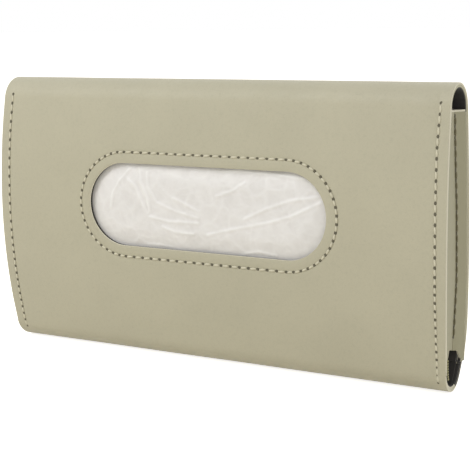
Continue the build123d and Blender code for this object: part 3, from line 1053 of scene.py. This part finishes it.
class TISSUECASE_OT_gussets(Operator):
    """Pleated leather gussets across both ends, with their glued hems"""

    bl_idname = "tissue_case.gussets"
    bl_label = "Gussets"

    def gusset(self, name, side, node):
        """One gusset, bent from a flat strip in plan and carried up along the walls."""
        s = sizes()
        wall = wall_thickness()
        profile, marks = case_profile()
        middle = BOTTOM + HEIGHT / 2
        back = -(wall + HEM_GAP)
        outer = side_x(middle) - s.gusset_inset
        front_y = front_line(profile, marks, wall + HEM_GAP)
        front = front_y(middle)
        crease = -s.gusset_crease
        corners = [
            (outer - s.gusset_hem, front),
            (outer, front),
            (outer - s.gusset_fold, crease),
            (outer + REAR_OVERHANG, back),
            (outer - s.gusset_hem, back),
        ]
        bm = bmesh.new()
        line = [bm.verts.new((x, y, 0)) for x, y in corners]
        edges = [bm.edges.new(pair) for pair in zip(line, line[1:])]
        bmesh.ops.subdivide_edges(bm, edges=edges, cuts=7)
        turns = [v for v in bm.verts if any((v.co.xy - Vector(c)).length < 1e-7 for c in corners[1:-1])]
        bmesh.ops.bevel(
            bm, geom=turns, offset=0.0005, segments=4, profile=0.5, affect="VERTICES", material=-1
        )
        low, high = GUSSET_LOW.z, GUSSET_HIGH.z
        cut_band, pleat_shade_band = 0.0007, 0.00032
        for v in bm.verts:
            v.co.z = low
        edges = bm.edges[:]
        for level in spread(low, high - cut_band, 0.0017) + [high]:
            edges = extrude_row(bm, edges, 2, level)
        flat_area = sum(face.calc_area() for face in bm.faces)
        # Faces along the crease get the pleat's painted shade
        mark_faces(bm, lambda middle: abs(middle.y - crease) < pleat_shade_band, 2)
        mark_faces(bm, lambda middle: middle.z > high - cut_band, 1)
        hem = bm.verts.layers.float.new("hem")
        for v in bm.verts:
            past = v.co.y - back + interpolated(v.co.z - BOTTOM, HEM_WIDTHS)
            v[hem] = eased(past, -0.0006, 0.0006)
            share = (v.co.y - front) / (back - front)
            before, behind = (v.co.y - front) / (crease - front), (back - v.co.y) / (back - crease)
            v.co.y += pleat_bow(v.co.z) * min(before, behind)
            first = BOTTOM + interpolated(share, GUSSET_FOOT)
            last = high + interpolated(share, GUSSET_HEAD)
            v.co.z = first + (v.co.z - low) * (last - first) / (high - low)
            local = front_y(v.co.z)
            v.co.y = local + (v.co.y - front) * (back - local) / (back - front)
            over_lip = eased(BOTTOM + s.lip_start - v.co.z, 0, 0.012) * eased(share, 0.62, 0.8)
            v.co.x += side_x(v.co.z) - side_x(middle) + REAR_OVERHANG * over_lip
            v.co.x *= side
        well_outside = 0.05
        outside = Vector((side * (outer + well_outside), -s.depth / 2, middle))
        face_outwards(bm, outside)
        bmesh.ops.reverse_faces(bm, faces=bm.faces)
        finishes = [gusset_leather(), cut_edge(), pleat_leather(), cut_edge()]
        piece = new_piece(name, bm, finishes)
        self.unfold(piece, front, back)
        thicken(piece, s.gusset_leather, 0.0002)
        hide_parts(node)

    def unfold(self, piece, front, back):
        """Bakes a piece's placement into its mesh."""
        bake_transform(piece)

    def pleat_thread(self, name, side):
        """Stitches that hold the pleat, dark with the pleat's painted shade."""
        s = sizes()
        wall = wall_thickness()
        profile, marks = case_profile()
        middle = BOTTOM + HEIGHT / 2
        back = -(wall + s.closure_gap)
        front_y = front_line(profile, marks, wall + HEM_GAP)
        front = front_y(middle)
        holes = []
        for z in spread(GUSSET_LOW.z + 0.002, GUSSET_HIGH.z - 0.001, 0.0044):
            local = front_y(z)
            y = local + (pleat_bow(z) - s.gusset_crease - front) * (back - local) / (back - front)
            x = side_x(z) - s.gusset_inset - s.gusset_fold + 0.0003
            holes.append((Vector((side * x, y, z)), Vector((side, 0, 0))))
        piece = sew(name, None, holes, None, pleat_cord())
        self.unfold(piece, front, back)

    def foot_thread(self, name, side):
        """Short overcast stitches on the front's inside, under the gusset."""
        profile, marks = case_profile()
        inner_y = front_line(profile, marks, wall_thickness())
        bm = bmesh.new()
        for height in spread(0.0055, 0.0152, 0.0012):
            z = BOTTOM + height
            start = Vector((side * (side_x(z) - 0.0006), inner_y(z) + 0.0001, z))
            end = start + Vector((0, 0.0019, 0.0004))
            add_stitch(bm, start, end, Vector((side, 0, 0)), 0.00036)
        piece = new_piece(name, bm, [hem_thread()])
        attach(piece, "front_case")

    def execute(self, context):
        for name, side in (("right", 1), ("left", -1)):
            self.gusset(f"{name}_gusset_pleat", side, f"{name}_gusset")
            self.pleat_thread(f"{name}_pleat_thread", side)
            self.foot_thread(f"{name}_foot_thread", side)
        return {"FINISHED"}


# Stitching

# Stray of the right edge's stitch line, and distance between its stitches, at heights
EDGE_STRAYS = ((0.007, 0.0015), (0.021, 0.0010), (0.042, 0.0003), (0.104, 0.0001), (0.124, 0.0010))
EDGE_PITCHES = ((0.045, 0.00355), (0.060, 0.00445))


def add_stitch(bm, start, end, out, radius):
    """A plump stitch between two needle holes, slightly slanted."""
    along = (end - start).normalized()
    side = along.cross(out).normalized()
    up = side.cross(along)
    centre = (start + end) / 2 + up * radius * 0.35
    axes = Matrix((along, side, up)).transposed().to_4x4()
    slant = Matrix.Rotation(math.radians(5), 4, up)
    shape = Matrix.Diagonal(((end - start).length * 0.37, radius * 1.25, radius * 0.95, 1))
    placed = Matrix.Translation(centre) @ slant @ axes @ shape
    bmesh.ops.create_uvsphere(bm, u_segments=8, v_segments=6, radius=1, matrix=placed)


def add_hole(bm, point, along, out, radius):
    """A shadowed needle hole, as a shallow dark lens on the leather."""
    side = along.cross(out).normalized()
    axes = Matrix((along.normalized(), side, out)).transposed().to_4x4()
    placed = Matrix.Translation(point) @ axes @ Matrix.Diagonal((radius * 1.1, radius, radius * 0.16, 1))
    made = bmesh.ops.create_uvsphere(bm, u_segments=10, v_segments=4, radius=1, matrix=placed)
    for face in {f for v in made["verts"] for f in v.link_faces}:
        face.material_index = 1


def sew(name, node, holes, body, thread=None, closed=False):
    """A row of stitches through a list of (place, outward direction), which replaces a CAD row."""
    s = sizes()
    bm = bmesh.new()
    pairs = list(zip(holes, holes[1:] + holes[:1] if closed else holes[1:]))
    for (start, out), (end, _) in pairs:
        add_stitch(bm, start, end, out, s.thread_radius)
    for index, (point, out) in enumerate(holes):
        ahead = holes[(index + 1) % len(holes)][0] if closed or index + 1 < len(holes) else None
        along = (ahead - point) if ahead else (point - holes[index - 1][0])
        add_hole(bm, point, along, out, s.hole_radius)
    piece = new_piece(name, bm, [thread or waxed_thread(), needle_hole()])
    if body:
        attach(piece, body)
    if node:
        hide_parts(node)
    return piece


def wall_holes(profile, places, depth=0.0):
    """Needle holes at places (x, distance along the profile) on the cover."""
    return [(on_wall(profile, x, at, depth), profile.outwards(at)) for x, at in places]


class TISSUECASE_OT_stitching(Operator):
    """Thread round the window, down the sides, along the back, the gussets and the flap"""

    bl_idname = "tissue_case.stitching"
    bl_label = "Stitching"

    def window(self, profile, marks):
        """Places round the window, closer together round its ends."""
        s = sizes()
        radius = s.window_height / 2 + s.window_stitch
        straight = s.window_length / 2 - s.window_height / 2
        centre = at_height(profile, marks, s.window_centre)
        half = [(straight, radius)] + [(-x, radius) for x in spread(-straight, straight, s.window_pitch)]
        for angle in spread(0, math.pi, s.end_pitch / radius)[:-1]:
            half.append((-straight - radius * math.sin(angle), radius * math.cos(angle)))
        places = [(turn * x, centre + turn * up) for turn in (1, -1) for x, up in half]
        return wall_holes(profile, places, 0.00016)

    def edge(self, profile, marks, side):
        """Places down one side edge of the front."""
        s = sizes()
        at = at_height(profile, marks, s.edge_stitch_low)
        high = at_height(profile, marks, s.edge_stitch_high)
        places = []
        while at < high:
            height = profile.point(at).z - BOTTOM
            stray = interpolated(height, EDGE_STRAYS) if side > 0 else 0
            places.append((side * (HALF_WIDTH - s.edge_stitch + stray), at))
            at += interpolated(height, EDGE_PITCHES)
        return wall_holes(profile, places, 0.00014)

    def back(self, profile, marks, side):
        """Places down one side edge of the back."""
        s = sizes()
        low = marks["heel"] + 0.0072
        high = marks["end"] - 0.0028
        x = side * (HALF_WIDTH - s.edge_stitch)
        places = [(x, low)] + [(x, at) for at in spread(low, high, s.stitch_pitch)]
        return wall_holes(profile, places, 0.0001)

    def gusset_rows(self, profile, marks, side):
        """Places down the front hem and the back hem of a gusset, inside the case."""
        s = sizes()
        wall = wall_thickness()
        heights = spread(s.lip_start, GUSSET_HIGH.z - BOTTOM - 0.002, s.stitch_pitch)
        inset = s.gusset_inset + 0.0036
        front, back = [], []
        for height in heights:
            at = at_height(profile, marks, height)
            point = profile.point(at, wall + s.gusset_leather + 0.0002)
            x = side * (side_x(point.z) - inset)
            front.append((Vector((x, point.y, point.z)), -profile.outwards(at)))
            rear = Vector((x, -(wall + s.closure_gap + s.gusset_leather + 0.0001), BOTTOM + height))
            back.append((rear, Vector((0, -1, 0))))
        return front, back

    def execute(self, context):
        s = sizes()
        profile, marks = case_profile()
        sew("window_thread", "window_stitching", self.window(profile, marks), "front_case", closed=True)
        for name, side in (("right", 1), ("left", -1)):
            edge = self.edge(profile, marks, side)
            sew(f"{name}_edge_thread", f"{name}_edge_stitching", edge, "front_case")
            front, back = self.gusset_rows(profile, marks, side)
            sew(f"{name}_gusset_front_thread", f"{name}_gusset_stitching", front, "front_case")
            sew(f"{name}_gusset_back_thread", f"{name}_gusset_stitching", back, "back_panel")
            sew(f"{name}_back_thread", "back_stitching", self.back(profile, marks, side), "back_panel")
        depth = s.leather + s.flap_board + s.lining
        hem = 0.0022
        half = HALF_WIDTH - s.flap_inset - s.edge_stitch
        places = [(-half, hem)] + [(x, hem) for x in spread(-half, half, s.stitch_pitch)]
        holes = [(on_wall(profile, x, at, depth), -profile.outwards(at)) for x, at in places]
        sew("flap_thread", "flap_stitching", holes, "bottom_flap")
        inset = 0.0035
        half = (STRAP_HIGH.x - STRAP_LOW.x) / 2 - inset
        middle = (STRAP_HIGH.x + STRAP_LOW.x) / 2
        face, out = s.strap_leather - 0.0001, Vector((0, 1, 0))
        for name, side in (("right", 1), ("left", -1)):
            for row, z in (("upper", TABS_HIGH.z - inset), ("lower", TABS_LOW.z + inset)):
                xs = [-half] + spread(-half, half, 0.004)
                holes = [(Vector((side * middle + x, face, z)), out) for x in xs]
                sew(f"{name}_tab_{row}_thread", "strap_tab_stitching", holes, "back_panel")
        return {"FINISHED"}


# Tissue pack

# Seed that fixes where the noise of the film's small creases starts
FILM_SEED = 1

# Long creases of the film, as points in millimetres from the window's middle
FILM_CREASES = (
    ((-40.1, 16.6), (-44.7, 11.3), (-48.5, 5.6), (-50.1, -1.5)),
    ((-40.1, 11.6), (-36.1, 8.7), (-31.8, 0.4), (-29.2, -3.3)),
    ((-34.7, 17.2), (-33.0, 11.1), (-29.4, 3.6), (-28.3, -2.5)),
    ((-30.1, 15.1), (-29.2, 9.0), (-24.5, 2.0), (-13.8, -1.6), (-2.4, -3.9)),
    ((-15.4, 4.4), (-8.4, 1.8), (-2.3, -0.8)),
    ((-28.4, -4.8), (-17.6, -6.4), (-2.5, -6.2)),
    ((-21.3, -9.0), (-14.2, -11.2), (-5.3, -11.3)),
    ((21.6, -2.7), (32.5, 2.5), (44.8, 6.9), (56.7, 8.7)),
    ((2.6, -11.1), (13.8, -8.1), (32.4, -3.8), (44.7, 0.0), (58.3, 6.6)),
    ((9.5, 17.8), (18.8, 18.3), (34.5, 17.6), (50.5, 16.2)),
    ((21.2, 13.2), (16.0, 9.6), (7.4, 6.5)),
    ((-30.8, -18.3), (-23.5, -18.1), (-10.9, -19.5)),
    ((19.5, -18.9), (27.9, -17.1), (36.2, -18.3)),
)


def crease_lines():
    """The film's long creases as short straight lines, in metres from the window's middle."""
    lines = []
    for crease in FILM_CREASES:
        points = [Vector(point) / 1000 for point in crease]
        for start, end in zip(points, points[1:]):
            lines.append((start, end - start))
    return lines


def crumple(place, lines):
    """Relief of the film at a place in the window, and how much painted highlight its creases give there.
    """
    nearest = 1.0
    for start, run in lines:
        share = min(max((place - start).dot(run) / run.length_squared, 0), 1)
        nearest = min(nearest, (place - start - run * share).length)
    long_crease = math.exp(-((nearest / 0.0007) ** 2))
    point = Vector((place.x, place.y, 0)) * 1000
    bent = point + 2.5 * noise.noise_vector(point / 9)
    cells = noise.voronoi(bent / 8.5)[0]
    facet = max(0, 1 - (cells[1] - cells[0]) * 3.2)
    cells = noise.voronoi(bent / 3.6 + Vector((7, 3, 1)))[0]
    small = max(0, 1 - (cells[1] - cells[0]) * 3.0)
    swell = noise.noise(point / 13)
    relief = 0.00034 * long_crease + 0.00014 * facet + 0.00008 * small + 0.00018 * swell
    return relief, min(1, 0.5 * long_crease + 0.24 * facet + 0.14 * small)


def swell(bm, frames, reach):
    """Blows a closed skin up a little, as cloth under pressure, and moves no point past reach."""
    scene = bpy.context.scene
    mesh = bpy.data.meshes.new("swelling_skin")
    bm.to_mesh(mesh)
    skin = bpy.data.objects.new("swelling_skin", mesh)
    scene.collection.objects.link(skin)
    cloth = skin.modifiers.new("cloth", "CLOTH")
    cloth.settings.quality = 6
    cloth.settings.use_pressure = True
    cloth.settings.uniform_pressure_force = 4
    cloth.settings.effector_weights.gravity = 0
    cloth.point_cache.frame_end = frames
    for number in range(1, frames + 1):
        scene.frame_set(number)
    swollen = skin.evaluated_get(bpy.context.evaluated_depsgraph_get())
    places = [v.co.copy() for v in swollen.to_mesh().vertices]
    swollen.to_mesh_clear()
    for v, place in zip(bm.verts, places):
        shift = place - v.co
        v.co += shift * min(1, reach / max(shift.length, 1e-9))
    scene.frame_set(1)
    bpy.data.objects.remove(skin)
    bpy.data.meshes.remove(mesh)


def inside_window(x, up):
    """How far inside the window's edge a place lies, or outside it if negative."""
    s = sizes()
    radius = s.window_height / 2
    straight = s.window_length / 2 - radius
    return radius - math.hypot(x - min(max(x, -straight), straight), up)


class TISSUECASE_OT_pack(Operator):
    """Soft pack of tissues in its wrinkled skin"""

    bl_idname = "tissue_case.pack"
    bl_label = "Tissue pack"

    def execute(self, context):
        noise.seed_set(FILM_SEED)
        s = sizes()
        profile, marks = case_profile()
        wall = wall_thickness()
        front_y = front_line(profile, marks, wall + 0.0012)
        skin_y = front_line(profile, marks, 0)
        half_x = (PACK_HIGH.x - PACK_LOW.x) / 2
        half_z = (PACK_HIGH.z - PACK_LOW.z) / 2
        centre_z = (PACK_HIGH.z + PACK_LOW.z) / 2
        window_z = BOTTOM + s.window_centre
        rear = PACK_HIGH.y
        bm = bmesh.new()
        place = Matrix.Rotation(math.pi / 2, 4, "X") @ Matrix.Diagonal((half_x * 2, half_z * 2, 1, 1))
        bmesh.ops.create_grid(bm, x_segments=80, y_segments=38, size=0.5, matrix=place)
        copied = bmesh.ops.duplicate(bm, geom=bm.verts[:] + bm.edges[:] + bm.faces[:])["geom"]
        behind = {v for v in copied if isinstance(v, bmesh.types.BMVert)}
        for v in bm.verts:
            x, z = v.co.x, v.co.z
            u, w = abs(x) / half_x, abs(z) / half_z
            corner = 1 - 0.06 * (u * w) ** 6
            x, z = x * corner, z * corner + centre_z
            crown = math.sqrt(max(0, 1 - u**7) * max(0, 1 - w**5))
            middle, half = (front_y(z) + rear) / 2, (rear - front_y(z)) / 2
            fullness = 0.9
            v.co = Vector((x, middle + half * crown * fullness * (1 if v in behind else -1), z))
        bmesh.ops.remove_doubles(bm, verts=bm.verts, dist=0.00002)
        bmesh.ops.recalc_face_normals(bm, faces=bm.faces)
        swell(bm, 20, 0.004)

        reach_x, reach_z = 0.0665, 0.023

        def shows(v):
            return v.normal.y < -0.5 and abs(v.co.x) < reach_x and abs(v.co.z - window_z) < reach_z

        shown = [edge for edge in bm.edges if all(shows(v) for v in edge.verts)]
        bmesh.ops.subdivide_edges(bm, edges=shown, cuts=4, smooth=1, use_grid_fill=True)
        bmesh.ops.recalc_face_normals(bm, faces=bm.faces)
        bm.normal_update()
        # Painted highlight along the creases, as a share at each point of the skin
        creased = bm.verts.layers.float.new("creased")
        lines = crease_lines()
        edge_gap, bulge, deepest = 0.0004, 0.0017, 0.0009
        for v in bm.verts:
            faced = eased(-v.normal.y, 0.2, 0.8)
            relief, v[creased] = crumple(Vector((v.co.x, v.co.z - window_z)), lines)
            inside = inside_window(v.co.x, v.co.z - window_z)
            y = max(v.co.y, front_y(v.co.z)) if faced else v.co.y
            bulged = skin_y(v.co.z) + wall + edge_gap - bulge * eased(inside, -0.001, 0.009)
            y += (bulged - y) * faced * eased(inside, -0.014, -0.001)
            y -= min(deepest, max(-deepest, relief)) * faced * eased(inside, -0.001, 0.003)
            v.co = Vector((min(max(v.co.x, -half_x), half_x), min(y, rear), v.co.z))
        piece = new_piece("tissue_pack", bm, [pack_film()])
        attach(piece, "front_case")
        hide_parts("tissue_wrapper", "tissue_stack")
        return {"FINISHED"}


# Visor straps

def strap_profile():
    """The strap's inner face from the sewn tab round the visor's gap to the rounded end."""
    s = sizes()
    gap = STRAP_HIGH.y - s.strap_leather
    seat = CAP_LOW.y
    hinge = STRAP_HIGH.z
    snap_z = (CAP_LOW.z + CAP_HIGH.z) / 2
    low = STRAP_LOW.z
    points = [
        (0, TABS_HIGH.z),
        (0, hinge - 0.0047),
        (gap, hinge - 0.014),
        (gap, snap_z + 0.022),
        (seat, snap_z + 0.009),
        (seat, low),
    ]
    profile = Profile(Vector((0, *points[0])), math.pi)
    cut = 0
    for before, corner, after in zip(points, points[1:], points[2:]):
        first = Vector((corner[0] - before[0], corner[1] - before[1]))
        second = Vector((after[0] - corner[0], after[1] - corner[1]))
        turn = math.atan2(first.x * second.y - first.y * second.x, first.dot(second))
        taken = s.strap_bend * math.tan(abs(turn) / 2)
        profile.straight(first.length - cut - taken)
        profile.turn(-turn, s.strap_bend)
        cut = taken
    profile.straight((Vector(points[-1]) - Vector(points[-2])).length - cut)
    return profile


class TISSUECASE_OT_straps(Operator):
    """Leather straps that hold the case on the visor"""

    bl_idname = "tissue_case.straps"
    bl_label = "Visor straps"

    def strap(self, name, side):
        """One strap, bent from a flat strip with a rounded end."""
        s = sizes()
        profile = strap_profile()
        half = (STRAP_HIGH.x - STRAP_LOW.x) / 2
        middle = side * (STRAP_HIGH.x + STRAP_LOW.x) / 2
        bm = bmesh.new()
        straight = profile.length - half
        place = Matrix.Translation((0, straight / 2, 0)) @ Matrix.Diagonal((half * 2, straight, 1, 1))
        bmesh.ops.create_grid(bm, x_segments=16, y_segments=110, size=0.5, matrix=place)
        steps = 12
        rows = [straight + half * math.sin(math.pi / 2 * (k + 1) / steps) for k in range(steps)]
        extend_sheet(bm, straight, rows)
        for v in bm.verts:
            over = (v.co.y - straight) / half
            if over > 0:
                v.co.x *= math.sqrt(max(0, 1 - over**2))
        bmesh.ops.remove_doubles(bm, verts=bm.verts, dist=0.00001)
        for v in bm.verts:
            point = profile.point(v.co.y, 0)
            v.co = Vector((middle + v.co.x, point.y, point.z))
        bmesh.ops.recalc_face_normals(bm, faces=bm.faces)
        if sum(face.normal.y * face.calc_area() for face in bm.faces) < 0:
            bmesh.ops.reverse_faces(bm, faces=bm.faces)
        piece = new_piece(name + "_visor_strap_leather", bm, [cover_leather(), cut_edge()])
        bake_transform(piece)
        solid = piece.modifiers.new("thickness", "SOLIDIFY")
        solid.thickness = s.strap_leather
        solid.offset = 1
        solid.material_offset_rim = 1
        soften(piece, 0.0004)
        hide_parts(name + "_strap", "strap_tabs")

    def execute(self, context):
        self.strap("right", 1)
        self.strap("left", -1)
        return {"FINISHED"}


class TISSUECASE_OT_fittings(Operator):
    """Finishes of the boards, plates, magnets and press studs"""

    bl_idname = "tissue_case.fittings"
    bl_label = "Boards and metal fittings"

    def execute(self, context):
        board = board_material("fibre_board", (0.265, 0.222, 0.168))
        dark_board = board_material("dark_fibre_board", (0.04, 0.037, 0.033))
        nickel = metal_material("satin_nickel", (0.62, 0.59, 0.54), 0.3)
        steel = metal_material("plain_steel", (0.52, 0.52, 0.53), 0.4)
        plated = metal_material("magnet_plating", (0.7, 0.7, 0.69), 0.22)
        for node in ("front_board", "back_board"):
            paint(node, board)
        paint("flap_board", dark_board)
        paint("snap_studs", nickel)
        for side in ("right", "left"):
            paint(f"{side}_snap_socket", nickel)
            paint(f"{side}_snap_cap", nickel)
        paint("closure_plates", steel)
        paint("flap_magnets", plated)
        return {"FINISHED"}


# Studio

# Name, place, width and power of each lamp
LAMPS = (
    ("key_lamp", (-0.47, -0.62, 0.72), 0.7, 4.7),
    ("fill_lamp", (0.9, -1.0, 0.3), 1.0, 2.4),
    ("rim_lamp", (0.3, 0.9, 0.8), 0.8, 4),
)
FLOOR_GLOW = 0.78
WORLD_LIGHT = 0.55
CAMERA_LENS = 94.9
CAMERA_PLACE = Vector((0.28727, -0.48796, 0.10997))
CAMERA_AHEAD = Vector((-0.49527, 0.84422, -0.20496))
CAMERA_UP = Vector((-0.07289, 0.19471, 0.97815))


def floor_material():
    """Pale floor that shows white to the camera and in gloss, with the object's shadow on it."""
    nodes = Nodes("pale_floor")
    path = nodes.add("ShaderNodeLightPath")
    seen = nodes.math("MAXIMUM", path.outputs["Is Camera Ray"], path.outputs["Is Glossy Ray"])
    seen = nodes.math("MAXIMUM", seen, path.outputs["Is Transmission Ray"])
    tone = nodes.tint(nodes.noise(0.4), (0.80, 0.76, 0.67), (0.82, 0.78, 0.69))
    nodes.shader.inputs["Emission Color"].default_value = (1, 1, 1, 1)
    nodes.link(nodes.math("MULTIPLY", seen, FLOOR_GLOW), nodes.shader.inputs["Emission Strength"])
    return nodes.finish(tone, Roughness=0.9, Specular_IOR_Level=0.1)


def area_light(name, place, size, power):
    """A soft square lamp that faces the middle of the case."""
    data = bpy.data.lights.new(name, "AREA")
    data.shape = "SQUARE"
    data.size = size
    data.energy = power
    lamp = bpy.data.objects.new(name, data)
    bpy.context.scene.collection.objects.link(lamp)
    lamp.location = place
    lamp.rotation_mode = "QUATERNION"
    lamp.rotation_quaternion = (-Vector(place)).to_track_quat("-Z", "Y")


class TISSUECASE_OT_stage(Operator):
    """Floor, lamps, world and camera"""

    bl_idname = "tissue_case.stage"
    bl_label = "Studio"

    def execute(self, context):
        scene = context.scene
        scene.view_settings.view_transform = "Standard"
        self.floor()
        self.world(scene)
        for lamp in LAMPS:
            area_light(*lamp)
        self.camera(scene)
        return {"FINISHED"}

    def floor(self):
        """A wide plain floor under the case."""
        bm = bmesh.new()
        bmesh.ops.create_grid(bm, x_segments=8, y_segments=8, size=3.0)
        bmesh.ops.translate(bm, verts=bm.verts, vec=(0, 0, BOTTOM - 0.0002))
        floor = new_piece("studio_floor", bm, [floor_material()])

    def world(self, scene):
        """A world that shows white, and lights the case more softly."""
        world = bpy.data.worlds.new("studio")
        scene.world = world
        world.use_nodes = True
        tree = world.node_tree
        background = tree.nodes["Background"]
        path = tree.nodes.new("ShaderNodeLightPath")
        seen = path.outputs["Is Camera Ray"]
        for ray in ("Is Glossy Ray", "Is Transmission Ray"):
            either = tree.nodes.new("ShaderNodeMath")
            either.operation = "MAXIMUM"
            tree.links.new(seen, either.inputs[0])
            tree.links.new(path.outputs[ray], either.inputs[1])
            seen = either.outputs[0]
        strength = tree.nodes.new("ShaderNodeMapRange")
        strength.inputs["To Min"].default_value = WORLD_LIGHT
        strength.inputs["To Max"].default_value = 1.0
        tree.links.new(seen, strength.inputs["Value"])
        tree.links.new(strength.outputs["Result"], background.inputs["Strength"])
        background.inputs["Color"].default_value = (1, 1, 1, 1)

    def camera(self, scene):
        """The camera at the photograph's angle."""
        data = bpy.data.cameras.new("camera")
        data.sensor_width = 36
        data.lens = CAMERA_LENS
        data.clip_start = 0.01
        camera = bpy.data.objects.new("camera", data)
        scene.collection.objects.link(camera)
        right = CAMERA_AHEAD.cross(CAMERA_UP).normalized()
        up = right.cross(CAMERA_AHEAD)
        turned = Matrix((right, up, -CAMERA_AHEAD)).transposed().to_4x4()
        camera.matrix_world = Matrix.Translation(CAMERA_PLACE) @ turned
        scene.camera = camera


OPERATORS = (
    TISSUECASE_OT_cover,
    TISSUECASE_OT_flap,
    TISSUECASE_OT_lining,
    TISSUECASE_OT_edges,
    TISSUECASE_OT_gussets,
    TISSUECASE_OT_stitching,
    TISSUECASE_OT_pack,
    TISSUECASE_OT_straps,
    TISSUECASE_OT_fittings,
    TISSUECASE_OT_stage,
)


class TISSUECASE_PT_panel(Panel):
    """Lists the pieces of the case"""

    bl_idname = "TISSUECASE_PT_panel"
    bl_label = "Tissue Case"
    bl_space_type = "VIEW_3D"
    bl_region_type = "UI"
    bl_category = "Tissue Case"

    def draw(self, context):
        layout = self.layout
        for operator in OPERATORS:
            layout.operator(operator.bl_idname)
        for group in (context.scene.tissue_case_sizes, context.scene.tissue_case_colours):
            for name in group.__annotations__:
                layout.prop(group, name)


CLASSES = (TissueCaseSizes, TissueCaseColours, *OPERATORS, TISSUECASE_PT_panel)


def register():
    for cls in CLASSES:
        bpy.utils.register_class(cls)
    bpy.types.Scene.tissue_case_sizes = PointerProperty(type=TissueCaseSizes)
    bpy.types.Scene.tissue_case_colours = PointerProperty(type=TissueCaseColours)


def unregister():
    del bpy.types.Scene.tissue_case_colours
    del bpy.types.Scene.tissue_case_sizes
    for cls in reversed(CLASSES):
        bpy.utils.unregister_class(cls)


def main():
    """Builds every piece and the studio."""
    register()
    bpy.ops.tissue_case.cover()
    bpy.ops.tissue_case.flap()
    bpy.ops.tissue_case.lining()
    bpy.ops.tissue_case.edges()
    bpy.ops.tissue_case.gussets()
    bpy.ops.tissue_case.stitching()
    bpy.ops.tissue_case.pack()
    bpy.ops.tissue_case.straps()
    bpy.ops.tissue_case.fittings()
    bpy.ops.tissue_case.stage()


if __name__ == "__main__":
    main()
